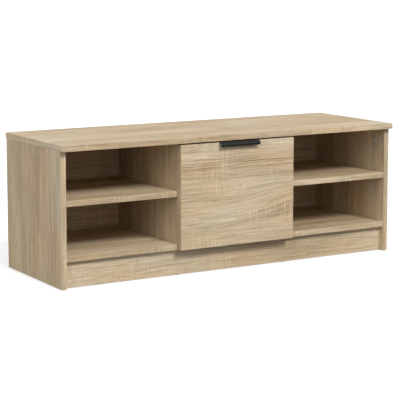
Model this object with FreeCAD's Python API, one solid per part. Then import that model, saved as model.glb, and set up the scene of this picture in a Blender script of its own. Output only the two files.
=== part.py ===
import FreeCAD, Part
import math
import os

# A low television stand of laminated chipboard. Two open bays have a shelf each, and the middle
# bay is closed by a flap that drops forward on two cup hinges and is held by a sliding stay.
# Millimetres. +Z is up and the front faces -Y. The origin is on the floor, under the middle of
# the overall box, which reaches from the lip of the handle to the rear edge of the top.

V = FreeCAD.Vector
UP = V(0, 0, 1)
DOWN = V(0, 0, -1)
LEFT = V(-1, 0, 0)
RIGHT = V(1, 0, 0)
FRONT = V(0, -1, 0)
BACK = V(0, 1, 0)

# Carcass
overall_width = 1020.0
top_depth = 350.0
overall_height = 365.0
board = 15.0
band = 0.8
band_round = 0.45
side_overhang = 1.0
front_overhang = 16.0
bottom_underside = 70.0
bottom_setback = 2.0
plinth_setback = 16.0
rear_rail_inset = 22.0
shelf_underside = 210.0
shelf_setback = 1.5
shelf_side_gap = 0.5
shelf_rear_gap = 1.0
back_thickness = 3.0
back_inset = 0.75
back_margin = 1.0
back_top_gap = 0.2
glide_height = 2.0
glide_radius = 6.0

# Flap
flap_board = 15.0
flap_gap = 1.5
flap_top_gap = 4.0
pin_depth = 7.0
pin_height = 6.2
open_drop = 0.3

# Cup hinges
hinge_inset = 50.0
cup_radius = 17.5
cup_depth = 11.5
cup_edge = 2.6
cup_floor = 0.8
cup_wing_width = 52.0
cup_wing_height = 15.0
cup_wing_rise = 12.0
cup_wing_sheet = 1.0
cup_screw_spacing = 42.0
pin_radius = 1.1
pin_half_length = 7.9
knuckle_radius = 2.1
arm_half_width = 4.2
arm_sheet = 2.0
arm_lift = 0.5
arm_body_start = 25.0
arm_body_length = 44.0
arm_body_half_width = 7.0
arm_body_height = 6.0
plate_rib_half_width = 5.8
plate_rib_height = 4.0
plate_wing_span = 48.0
plate_wing_depth = 16.0
plate_wing_height = 2.0
plate_screw_spacing = 32.0

# Handle, bent from strip and laid over the flap's upper edge
handle_width = 120.0
handle_sheet = 2.0
handle_reach = 13.0
handle_bend = 10.0
handle_drop = 10.5
handle_leg = 22.0
handle_screw_spacing = 96.0

# Flap stay: both pivots lie at the same distance from the hinge pin
stay_radius = 130.0
stay_start_angle = 25.0
stay_standoff = 9.0
stay_plane = 8.5
stay_sheet = 2.0
stay_height = 10.0
guide_length = 26.0
guide_height = 18.0
guide_front = 12.0
guide_back = 2.5
guide_slack = 0.4
stop_length = 6.0
stop_height = 16.0
stop_thickness = 5.0
stay_pin_radius = 3.0
stay_rivet_radius = 2.5
bracket_sheet = 1.8
bracket_foot = 16.0
bracket_height = 34.0
bracket_screw_spacing = 22.0
base_length = 44.0
base_width = 16.0
base_sheet = 2.0
base_screw_spacing = 32.0

# Magnetic catch
catch_offset = 45.0
catch_width = 46.0
catch_height = 14.0
catch_depth = 13.0
catch_air = 0.4
catch_screw_spacing = 36.0
magnet_width = 24.0
magnet_height = 8.0
magnet_depth = 8.0
strike_width = 34.0
strike_height = 12.0
strike_sheet = 1.0

# Fasteners
snug = 0.02
running = 0.05
fastener_inset = 40.0
fastener_pitch = 32.0
cam_distance = 34.0
cam_radius = 7.4
cam_depth = 12.0
cam_slack = 0.1
bolt_bore_radius = 4.0
bolt_thread_radius = 2.5
bolt_thread = 11.0
dowel_radius = 4.0
dowel_in_face = 10.0
dowel_in_edge = 20.0
shelf_pin_radius = 2.5
shelf_pin_in = 8.0
shelf_pin_out = 8.0
bumper_radius = 4.0
bumper_height = 1.2
block_size = 18.0
block_inset = 90.0
nail_pitch = 110.0

# Places worked out from the sizes above
flap_proud = flap_gap + flap_board - front_overhang
overall_depth = top_depth + flap_proud + handle_reach
rear = overall_depth / 2
top_front = rear - top_depth
carcass_front = top_front + front_overhang
back_rear = rear - back_inset
back_face = back_rear - back_thickness
carcass_top = overall_height - board
bottom_top = bottom_underside + board
side_outer = overall_width / 2 - side_overhang
side_inner = side_outer - board
bay = (2 * side_inner - 2 * board) / 3
divider_inner = bay / 2
divider_outer = divider_inner + board
side_middle = side_inner + board / 2
divider_middle = divider_inner + board / 2
plinth_front = carcass_front + plinth_setback
rail_rear = back_face - rear_rail_inset
shelf_top = shelf_underside + board
flap_inner = carcass_front - flap_gap
flap_outer = flap_inner - flap_board
flap_half = divider_outer
flap_top = carcass_top - flap_top_gap
pin_y = flap_inner - pin_depth
pin_z = bottom_top - open_drop - pin_depth
flap_bottom = pin_z - pin_height
hinge_x = divider_inner - hinge_inset
cup_z = flap_bottom + cup_edge + cup_radius
front_row = carcass_front + fastener_inset
rear_row = back_face - fastener_inset

drilled = {}


def block(x0, x1, y0, y1, z0, z1):
    """A box between two corners."""
    return Part.makeBox(x1 - x0, y1 - y0, z1 - z0, V(x0, y0, z0))


def rod(start, direction, length, radius):
    """A cylinder from a start point along a direction."""
    return Part.makeCylinder(radius, length, start, direction)


def moved(shape, origin, along_z, along_x=None):
    """A shape drawn about its own Z axis, turned to point along_z and moved to origin."""
    turned = shape.copy()
    if along_x is None:
        rotation = FreeCAD.Rotation(UP, along_z)
    else:
        rotation = FreeCAD.Rotation(along_x, along_z.cross(along_x), along_z, "ZXY")
    turned.Placement = FreeCAD.Placement(origin, rotation)
    return turned


def turned_profile(points):
    """A solid turned about Z from (radius, height) points."""
    corners = [V(radius, 0, height) for radius, height in points]
    face = Part.Face(Part.makePolygon(corners + corners[:1]))
    return face.revolve(V(0, 0, 0), UP, 360)


def drill(name, *tools):
    """Note the bores that a board gets when it is built."""
    drilled.setdefault(name, []).extend(tools)


def with_bores(name, solid):
    """A board with all of its bores cut."""
    tools = drilled.get(name, [])
    return solid.cut(tools) if tools else solid


def rounded(solid, outward, ends=False):
    """A band with the long edges of its outer face rounded, and the short ones where asked."""
    box = solid.BoundBox
    centre = box.Center
    reach = (V(box.XLength, box.YLength, box.ZLength)).dot(V(*[abs(c) for c in outward])) / 2
    longest = max(box.XLength, box.YLength, box.ZLength)
    chosen = []
    for edge in solid.Edges:
        on_outer_face = abs((edge.CenterOfMass - centre).dot(outward) - reach) < 1e-6
        if on_outer_face and (ends or edge.Length > longest - 1e-6):
            chosen.append(edge)
    return solid.makeFillet(band_round, chosen)


def cross_recess(across, depth):
    """The driver's cross, cut from Z = 0 downwards."""
    width = across / 5
    one = block(-across / 2, across / 2, -width / 2, width / 2, -depth, 1)
    other = block(-width / 2, width / 2, -across / 2, across / 2, -depth, 1)
    return one.fuse(other)


def screw(head, direction, length, radius, head_radius, bore=False):
    """A countersunk screw with its flat head at a point, or the bore that it sits in."""
    grow = snug if bore else 0
    cone = head_radius - radius
    outline = [
        (0, 0),
        (head_radius + grow, 0),
        (head_radius + grow, -0.4),
        (radius + grow, -0.4 - cone),
        (radius + grow, -(length - 2 * radius)),
        (0, -length - grow),
    ]
    solid = turned_profile(outline)
    if not bore:
        solid = solid.cut(cross_recess(1.2 * head_radius, 0.6 * head_radius))
    return moved(solid, head, direction * -1)


def screws(places, length, radius, head_radius, *names):
    """Screws at (point, direction) places, bored into each named board."""
    solids = []
    for head, direction in places:
        solids.append(screw(head, direction, length, radius, head_radius))
        for name in names:
            drill(name, screw(head, direction, length, radius, head_radius, bore=True))
    return solids


def cam_joint(seat, into, cam_face, face_board, cam_board):
    """A cam in one board and its bolt in another. seat is where the bolt enters face_board,
    into is the bolt's direction there, and cam_face is the way the open end of the cam looks."""
    mouth = seat - into * cam_distance + cam_face * (board / 2)
    body = Part.makeCylinder(cam_radius, cam_depth, V(0, 0, -cam_depth))
    body = body.cut(block(-3, cam_radius + 1, -3, 3, -board / 2 - 3, -board / 2 + 3))
    body = body.cut(cross_recess(8, 2.5))
    cam = moved(body, mouth, cam_face, into)
    neck_start = cam_distance - cam_radius - 1
    bolt = turned_profile([
        (0, bolt_thread),
        (1.2, bolt_thread),
        (bolt_thread_radius, bolt_thread - 2),
        (bolt_thread_radius, 0),
        (3.5, 0),
        (3.5, -neck_start),
        (1.8, -neck_start - 1),
        (1.8, -cam_distance + 2),
        (2.6, -cam_distance + 1),
        (2.6, -cam_distance - 0.6),
        (1.6, -cam_distance - 1.6),
        (0, -cam_distance - 1.6),
    ])
    drill(face_board, rod(seat - into, into, bolt_thread + 1.5, bolt_thread_radius + snug))
    drill(
        cam_board,
        rod(seat + into, into * -1, cam_distance + 1, bolt_bore_radius),
        rod(mouth + cam_face, cam_face * -1, cam_depth + 1.3, cam_radius + cam_slack),
    )
    return cam, moved(bolt, seat, into)


def dowel(seat, into, face_board, edge_board):
    """A fluted peg shared by a board's face and another board's edge."""
    length = dowel_in_face + dowel_in_edge
    peg = turned_profile([
        (0, 0),
        (dowel_radius - 1, 0),
        (dowel_radius, 1),
        (dowel_radius, length - 1),
        (dowel_radius - 1, length),
        (0, length),
    ])
    start = seat - into * dowel_in_edge
    drill(face_board, rod(seat - into, into, dowel_in_face + 1.5, dowel_radius + snug))
    drill(edge_board, rod(seat + into, into * -1, dowel_in_edge + 1.5, dowel_radius + snug))
    return moved(peg, start, into)


def carcass_joints():
    """Cams, bolts and dowels of the whole carcass."""
    cams = []
    pegs = []
    for side, word in ((-1, "left"), (1, "right")):
        inward = V(-side, 0, 0)
        outward = V(side, 0, 0)
        uprights = (
            (side * side_middle, f"side_panel_{word}"),
            (side * divider_middle, f"divider_{word}"),
        )
        for x, upright in uprights:
            for y in (front_row, rear_row):
                cams.append(cam_joint(V(x, y, carcass_top), UP, inward, "top_panel", upright))
            for y in (front_row + fastener_pitch, rear_row - fastener_pitch):
                pegs.append(dowel(V(x, y, carcass_top), UP, "top_panel", upright))
        x = side * side_inner
        panel = f"side_panel_{word}"
        z = bottom_underside + board / 2
        for y in (front_row, rear_row):
            cams.append(cam_joint(V(x, y, z), outward, DOWN, panel, "bottom_panel"))
        for y in (front_row + fastener_pitch, rear_row - fastener_pitch):
            pegs.append(dowel(V(x, y, z), outward, panel, "bottom_panel"))
        divider_foot = V(side * divider_middle, (front_row + rear_row) / 2, bottom_top)
        pegs.append(dowel(divider_foot, DOWN, "bottom_panel", f"divider_{word}"))
        rails = (
            ("front_plinth", plinth_front + board / 2, BACK),
            ("rear_rail", rail_rear - board / 2, FRONT),
        )
        for rail, y, cam_face in rails:
            low = glide_height + (bottom_underside - glide_height) / 4
            high = glide_height + 3 * (bottom_underside - glide_height) / 4
            cams.append(cam_joint(V(x, y, high), outward, cam_face, panel, rail))
            pegs.append(dowel(V(x, y, low), outward, panel, rail))
    return {
        "cam_locks": [cam for cam, bolt in cams],
        "cam_bolts": [bolt for cam, bolt in cams],
        "dowels": pegs,
    }


def divider_screws():
    """Long screws that come up through the bottom panel into the dividers."""
    places = []
    for x in (-divider_middle, divider_middle):
        for y in (front_row, rear_row):
            places.append((V(x, y, bottom_underside), UP))
    names = ("bottom_panel", "divider_left", "divider_right")
    return {"divider_screws": screws(places, 50, 3.2, 5.0, *names)}


def shelf_pins():
    """Pegs in the uprights under each end of both shelves."""
    pegs = []
    flange = shelf_side_gap - 0.1
    outline = [
        (0, shelf_pin_in),
        (shelf_pin_radius - 0.5, shelf_pin_in),
        (shelf_pin_radius, shelf_pin_in - 0.5),
        (shelf_pin_radius, 0),
        (shelf_pin_radius + 1, 0),
        (shelf_pin_radius + 1, -flange),
        (shelf_pin_radius, -flange),
        (shelf_pin_radius, -shelf_pin_out + 0.5),
        (shelf_pin_radius - 0.5, -shelf_pin_out),
        (0, -shelf_pin_out),
    ]
    z = shelf_underside - shelf_pin_radius
    for side, word in ((-1, "left"), (1, "right")):
        ends = (
            (side * side_inner, V(side, 0, 0), f"side_panel_{word}"),
            (side * divider_outer, V(-side, 0, 0), f"divider_{word}"),
        )
        for x, into, upright in ends:
            for y in (front_row, rear_row):
                pegs.append(moved(turned_profile(outline), V(x, y, z), into))
                bore = rod(V(x, y, z) - into, into, shelf_pin_in + 1.5, shelf_pin_radius + snug)
                drill(upright, bore)
    return {"shelf_pins": pegs}


def top():
    """The top board, and the band round its four edges."""
    half = overall_width / 2
    z0 = carcass_top
    z1 = overall_height
    core = block(-half + band, half - band, top_front + band, rear - band, z0, z1)
    strips = [
        rounded(block(-half, half, top_front, top_front + band, z0, z1), FRONT, ends=True),
        rounded(block(-half, half, rear - band, rear, z0, z1), BACK, ends=True),
        rounded(block(-half, band - half, top_front + band, rear - band, z0, z1), LEFT),
        rounded(block(half - band, half, top_front + band, rear - band, z0, z1), RIGHT),
    ]
    return {"top_panel": with_bores("top_panel", core), "top_edge_band": strips}


def uprights():
    """Both sides and both dividers, with the bands on their front edges."""
    nodes = {}
    strips = {"side": [], "divider": []}
    rows = (
        ("side", "side_panel", side_inner, side_outer, glide_height),
        ("divider", "divider", divider_inner, divider_outer, bottom_top),
    )
    for kind, stem, inner, outer, foot in rows:
        for side, word in ((-1, "left"), (1, "right")):
            x0, x1 = sorted((side * inner, side * outer))
            y0 = carcass_front + band
            core = block(x0, x1, y0, back_face, foot, carcass_top)
            nodes[f"{stem}_{word}"] = with_bores(f"{stem}_{word}", core)
            strip = block(x0, x1, carcass_front, y0, foot, carcass_top)
            strips[kind].append(rounded(strip, FRONT))
    nodes["side_edge_bands"] = strips["side"]
    nodes["divider_edge_bands"] = strips["divider"]
    return nodes


def bottom():
    """The bottom board, which runs from side to side under the dividers."""
    y0 = carcass_front + bottom_setback
    z0 = bottom_underside
    core = block(-side_inner, side_inner, y0 + band, back_face, z0, bottom_top)
    strip = block(-side_inner, side_inner, y0, y0 + band, z0, bottom_top)
    return {
        "bottom_panel": with_bores("bottom_panel", core),
        "bottom_edge_band": rounded(strip, FRONT),
    }


def shelves():
    """One shelf in each open bay."""
    nodes = {}
    strips = []
    y0 = carcass_front + shelf_setback
    for side, word in ((-1, "left"), (1, "right")):
        ends = (side * (divider_outer + shelf_side_gap), side * (side_inner - shelf_side_gap))
        x0, x1 = sorted(ends)
        y1 = back_face - shelf_rear_gap
        core = block(x0, x1, y0 + band, y1, shelf_underside, shelf_top)
        nodes[f"shelf_{word}"] = core
        strips.append(rounded(block(x0, x1, y0, y0 + band, shelf_underside, shelf_top), FRONT))
    nodes["shelf_edge_bands"] = strips
    return nodes


def plinth_blocks():
    """Plastic corner blocks and their screws, which tie the plinth and rail to the bottom."""
    blocks = []
    fixings = []
    rows = (("front_plinth", plinth_front + board, BACK), ("rear_rail", rail_rear - board, FRONT))
    for rail, y, away in rows:
        for x in (block_inset - divider_inner, divider_inner - block_inset):
            y0, y1 = sorted((y, y + away.y * block_size))
            body = block(
                x - block_size / 2, x + block_size / 2, y0, y1,
                bottom_underside - block_size, bottom_underside,
            )
            body = body.makeFillet(1.5, [e for e in body.Edges if abs(e.Length - block_size) < 1e-6])
            inside = V(x - 4, y + away.y * 11, bottom_underside - block_size)
            across = V(x + 4, y + away.y * block_size, bottom_underside - block_size + 6)
            upright = screw(inside, UP, 28, 1.75, 3.5)
            level = screw(across, away * -1, 28, 1.75, 3.5)
            bores = [
                screw(inside, UP, 28, 1.75, 3.5, bore=True),
                screw(across, away * -1, 28, 1.75, 3.5, bore=True),
            ]
            drill("bottom_panel", bores[0])
            drill(rail, bores[1])
            blocks.append(body.cut(bores))
            fixings.extend((upright, level))
    return {"corner_blocks": blocks, "corner_block_screws": fixings}


def floor_glides():
    """Nail-on glides under the sides, the plinth and the rail."""
    outline = [
        (0, 0),
        (glide_radius - 1, 0),
        (glide_radius, 1),
        (glide_radius, glide_height),
        (1.2, glide_height),
        (1.2, glide_height + 12),
        (0, glide_height + 14),
    ]
    glides = []
    places = []
    for side, word in ((-1, "left"), (1, "right")):
        x = side * side_middle
        places.append((x, front_row, f"side_panel_{word}"))
        places.append((x, rear_row, f"side_panel_{word}"))
        x = side * divider_middle
        places.append((x, plinth_front + board / 2, "front_plinth"))
        places.append((x, rail_rear - board / 2, "rear_rail"))
    for x, y, name in places:
        glides.append(moved(turned_profile(outline), V(x, y, 0), UP))
        drill(name, rod(V(x, y, glide_height - 1), UP, 15.5, 1.2 + snug))
    return {"floor_glides": glides}


def plinths():
    """The front plinth and the rail under the back of the bottom board."""
    nodes = {}
    rows = (("front_plinth", plinth_front), ("rear_rail", rail_rear - board))
    for name, y in rows:
        core = block(-side_inner, side_inner, y, y + board, glide_height, bottom_underside)
        nodes[name] = with_bores(name, core)
    return nodes


def back_panel():
    """The thin back, nailed to the rear edges of the carcass."""
    half = side_outer - back_margin
    z0 = bottom_underside + back_margin
    z1 = carcass_top - back_top_gap
    places = []
    across = math.floor((2 * half - 20) / nail_pitch)
    low = bottom_underside + board / 2
    for n in range(across + 1):
        places.append((-side_middle + n * 2 * side_middle / across, low))
    rows = math.floor((z1 - low) / nail_pitch)
    for x in (-side_middle, -divider_middle, divider_middle, side_middle):
        for n in range(1, rows + 1):
            places.append((x, low + n * (z1 - 12 - low) / rows))
    outline = [
        (0, -18),
        (0.6, -16.5),
        (0.6, 0),
        (1.6, 0),
        (1.6, 0.5),
        (0, 0.5),
    ]
    nails = [moved(turned_profile(outline), V(x, back_rear, z), BACK) for x, z in places]
    names = ("side_panel_left", "side_panel_right", "divider_left", "divider_right", "bottom_panel")
    bores = [rod(V(x, back_rear + 1, z), FRONT, 20, 0.6 + snug) for x, z in places]
    for name in names:
        drill(name, *bores)
    sheet = block(-half, half, back_face, back_rear, z0, z1).cut(bores)
    return {"back_panel": sheet, "back_panel_nails": nails}


def hinge_cup(x):
    """The cup let into the flap, with its screw wings and a pocket for the arm."""
    depth_end = flap_inner - cup_depth
    body = rod(V(x, flap_inner, cup_z), FRONT, cup_depth, cup_radius)
    wing_z0 = pin_z + cup_wing_rise
    wing = block(
        x - cup_wing_width / 2, x + cup_wing_width / 2,
        flap_inner, flap_inner + cup_wing_sheet,
        wing_z0, wing_z0 + cup_wing_height,
    )
    short = [e for e in wing.Edges if abs(e.Length - cup_wing_sheet) < 1e-6]
    wing = wing.makeFillet(cup_wing_height / 2 - 0.5, short)
    pocket = block(
        x - arm_half_width - 0.3, x + arm_half_width + 0.3,
        depth_end + cup_floor, flap_inner + cup_wing_sheet + 1,
        pin_z - knuckle_radius - 0.3, cup_z + cup_radius - 4,
    )
    pin_bore = rod(V(x - pin_half_length, pin_y, pin_z), RIGHT, 2 * pin_half_length, pin_radius + snug)
    return body.fuse(wing).removeSplitter().cut([pocket, pin_bore])


def hinge_arm(x):
    """The cranked arm: a knuckle on the pin, a neck over the bottom board, and a channel."""
    low = bottom_top + arm_lift
    high = low + arm_sheet
    body_front = pin_y + arm_body_start
    knuckle = rod(V(x - arm_half_width, pin_y, pin_z), RIGHT, 2 * arm_half_width, knuckle_radius)
    leg = block(x - arm_half_width, x + arm_half_width, pin_y - 0.4, pin_y + 1.6, pin_z, high)
    strip = block(x - arm_half_width, x + arm_half_width, pin_y - 0.4, body_front + 1, low, high)
    crank = leg.fuse(strip).removeSplitter()
    corner = [
        e for e in crank.Edges
        if e.Length > 2 * arm_half_width - 1e-6
        and abs(e.CenterOfMass.y - (pin_y - 0.4)) < 1e-6
        and abs(e.CenterOfMass.z - high) < 1e-6
    ]
    crank = crank.makeFillet(1.8, corner)
    channel = block(
        x - arm_body_half_width, x + arm_body_half_width,
        body_front, body_front + arm_body_length,
        low, low + arm_body_height + arm_sheet / 2,
    )
    upper = [
        e for e in channel.Edges
        if abs(e.CenterOfMass.z - channel.BoundBox.ZMax) < 1e-6
    ]
    channel = channel.makeFillet(1.0, upper)
    hollow = block(
        x - plate_rib_half_width - 0.1, x + plate_rib_half_width + 0.1,
        body_front + 1.5, body_front + arm_body_length + 1,
        low - 1, bottom_top + plate_rib_height + 0.1,
    )
    bore = rod(V(x, pin_y, pin_z) - RIGHT * 20, RIGHT, 40, pin_radius + running)
    arm = crank.fuse([knuckle, channel]).removeSplitter()
    return arm.cut([hollow, bore])


def hinge_plate(x):
    """The mounting plate on the bottom board, with two wings and a rib inside the arm."""
    y0 = pin_y + arm_body_start + 2.0
    rib = block(
        x - plate_rib_half_width, x + plate_rib_half_width,
        y0, y0 + arm_body_length - 4,
        bottom_top, bottom_top + plate_rib_height,
    )
    wing_y = y0 + (arm_body_length - 4 - plate_wing_depth) / 2
    wing_z = bottom_top + arm_lift - 0.1
    wing = block(
        x - plate_wing_span / 2, x + plate_wing_span / 2,
        wing_y, wing_y + plate_wing_depth,
        bottom_top, bottom_top + plate_wing_height,
    )
    upright = [e for e in wing.Edges if abs(e.Length - plate_wing_height) < 1e-6]
    wing = wing.makeFillet(5.0, upright)
    slots = []
    for side in (-1, 1):
        wall0, wall1 = sorted((side * (plate_rib_half_width), side * (arm_body_half_width + 0.2)))
        slots.append(block(x + wall0, x + wall1, wing_y - 1, wing_y + plate_wing_depth + 1,
                           wing_z, bottom_top + plate_wing_height + 1))
    return wing.cut(slots).fuse(rib).removeSplitter()


def hinges():
    """Both cup hinges, with their pins and screws."""
    nodes = {"hinge_pins": []}
    cup_places = []
    plate_places = []
    setting_places = []
    for side, word in ((-1, "left"), (1, "right")):
        x = side * hinge_x
        nodes[f"hinge_cup_{word}"] = hinge_cup(x)
        nodes[f"hinge_arm_{word}"] = hinge_arm(x)
        nodes[f"hinge_plate_{word}"] = hinge_plate(x)
        pin = rod(V(x - pin_half_length, pin_y, pin_z), RIGHT, 2 * pin_half_length, pin_radius)
        nodes["hinge_pins"].append(pin)
        drill("door_panel", rod(V(x, flap_inner + 1, cup_z), FRONT, cup_depth + 1, cup_radius + snug))
        wing_z = pin_z + cup_wing_rise + cup_wing_height / 2
        y = pin_y + arm_body_start + 2 + (arm_body_length - 4) / 2
        for step in (-1, 1):
            screw_x = x + step * cup_screw_spacing / 2
            cup_places.append((V(screw_x, flap_inner + cup_wing_sheet, wing_z), FRONT))
            screw_x = x + step * plate_screw_spacing / 2
            plate_places.append((V(screw_x, y, bottom_top + plate_wing_height), DOWN))
        top_of_arm = bottom_top + arm_lift + arm_body_height + arm_sheet / 2
        setting_places.append((V(x, y, top_of_arm), DOWN))
    names = ("hinge_cup_left", "hinge_cup_right", "door_panel")
    nodes["hinge_cup_screws"] = screws(cup_places, 12, 1.75, 3.0, *names)
    names = ("hinge_plate_left", "hinge_plate_right", "bottom_panel")
    nodes["hinge_plate_screws"] = screws(plate_places, 12.5, 1.75, 3.2, *names)
    names = ("hinge_arm_left", "hinge_arm_right", "hinge_plate_left", "hinge_plate_right")
    nodes["hinge_setting_screws"] = screws(setting_places, 6.5, 1.5, 2.6, *names)
    for word in ("left", "right"):
        for stem in ("hinge_cup", "hinge_arm", "hinge_plate"):
            name = f"{stem}_{word}"
            nodes[name] = with_bores(name, nodes[name])
    return nodes


def handle():
    """The handle: a leg behind the flap, a web over its edge, and a lip curved down in front."""
    bend_y = flap_outer - (handle_reach - handle_bend)
    bend_z = flap_top + handle_sheet - handle_bend
    inner = handle_bend - handle_sheet
    diagonal = math.sqrt(0.5)
    half = handle_width / 2

    def at(y, z):
        return V(-half, y, z)

    lip_y = bend_y - handle_bend
    lip_z = flap_top - handle_drop
    leg_z = flap_top - handle_leg
    outline = [
        Part.makePolygon([
            at(bend_y, flap_top), at(flap_inner, flap_top), at(flap_inner, leg_z),
            at(flap_inner + handle_sheet, leg_z),
            at(flap_inner + handle_sheet, flap_top + handle_sheet),
            at(bend_y, flap_top + handle_sheet),
        ]),
        Part.Arc(
            at(bend_y, flap_top + handle_sheet),
            at(bend_y - handle_bend * diagonal, bend_z + handle_bend * diagonal),
            at(lip_y, bend_z),
        ).toShape(),
        Part.makePolygon([
            at(lip_y, bend_z), at(lip_y, lip_z),
            at(lip_y + handle_sheet, lip_z), at(lip_y + handle_sheet, bend_z),
        ]),
        Part.Arc(
            at(lip_y + handle_sheet, bend_z),
            at(bend_y - inner * diagonal, bend_z + inner * diagonal),
            at(bend_y, flap_top),
        ).toShape(),
    ]
    edges = [edge for piece in outline for edge in piece.Edges]
    body = Part.Face(Part.Wire(edges)).extrude(V(handle_width, 0, 0))
    rounded_edges = []
    for edge in body.Edges:
        centre = edge.CenterOfMass
        along = edge.Length > handle_width - 1e-6
        at_lip = abs(centre.z - lip_z) < 1e-6
        at_corner = abs(centre.y - flap_inner - handle_sheet) < 1e-6 and centre.z > flap_top
        if along and (at_lip or at_corner):
            rounded_edges.append(edge)
    body = body.makeFillet(0.8, rounded_edges)
    places = []
    for x in (-handle_screw_spacing / 2, handle_screw_spacing / 2):
        screw_z = flap_top - handle_leg + 8
        places.append((V(x, flap_inner + handle_sheet, screw_z), FRONT))
    fixings = screws(places, 13, 1.75, 3.2, "door_handle", "door_panel")
    return {"door_handle": with_bores("door_handle", body), "handle_screws": fixings}


def bumpers():
    """Soft pads on the flap, opposite the front edges of the dividers."""
    outline = [
        (0, -6),
        (1.4, -6),
        (1.4, 0),
        (bumper_radius, 0),
        (bumper_radius, bumper_height / 2),
        (bumper_radius - 1, bumper_height),
        (0, bumper_height),
    ]
    pads = []
    for x in (-divider_middle, divider_middle):
        place = V(x, flap_inner, flap_top - 14)
        pads.append(moved(turned_profile(outline), place, BACK))
        drill("door_panel", rod(place + BACK, FRONT, 7.5, 1.4 + snug))
    return {"door_bumpers": pads}


def catch():
    """The magnetic catch under the top, and its strike plate on the flap."""
    x = -(handle_width / 2 + catch_offset)
    face = flap_inner + strike_sheet + catch_air
    case = block(
        x - catch_width / 2, x + catch_width / 2,
        face + 0.4, face + 0.4 + catch_depth,
        carcass_top - catch_height, carcass_top,
    )
    upright = [e for e in case.Edges if abs(e.Length - catch_height) < 1e-6]
    case = case.makeFillet(3.0, upright)
    magnet_z = carcass_top - catch_height / 2
    magnet = block(
        x - magnet_width / 2, x + magnet_width / 2,
        face, face + magnet_depth,
        magnet_z - magnet_height / 2, magnet_z + magnet_height / 2,
    )
    strike = block(
        x - strike_width / 2, x + strike_width / 2,
        flap_inner, flap_inner + strike_sheet,
        magnet_z - strike_height / 2 - 1, min(magnet_z + strike_height / 2 - 1, flap_top - 1),
    )
    short = [e for e in strike.Edges if abs(e.Length - strike_sheet) < 1e-6]
    strike = strike.makeFillet(2.0, short)
    places = []
    for step in (-1, 1):
        screw_x = x + step * catch_screw_spacing / 2
        head = V(screw_x, face + 0.4 + catch_depth / 2, carcass_top - catch_height)
        places.append((head, UP))
    fixings = screws(places, 24, 1.5, 3.0, "magnetic_catch_case", "top_panel")
    centre = V(x, flap_inner + strike_sheet, magnet_z - 1.5)
    strike_fixing = screws([(centre, FRONT)], 12, 1.5, 2.8, "catch_strike_plate", "door_panel")
    return {
        "magnetic_catch_case": with_bores("magnetic_catch_case", case.cut(magnet)),
        "catch_magnet": magnet,
        "catch_case_screws": fixings,
        "catch_strike_plate": with_bores("catch_strike_plate", strike),
        "catch_strike_screw": strike_fixing,
    }


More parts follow.
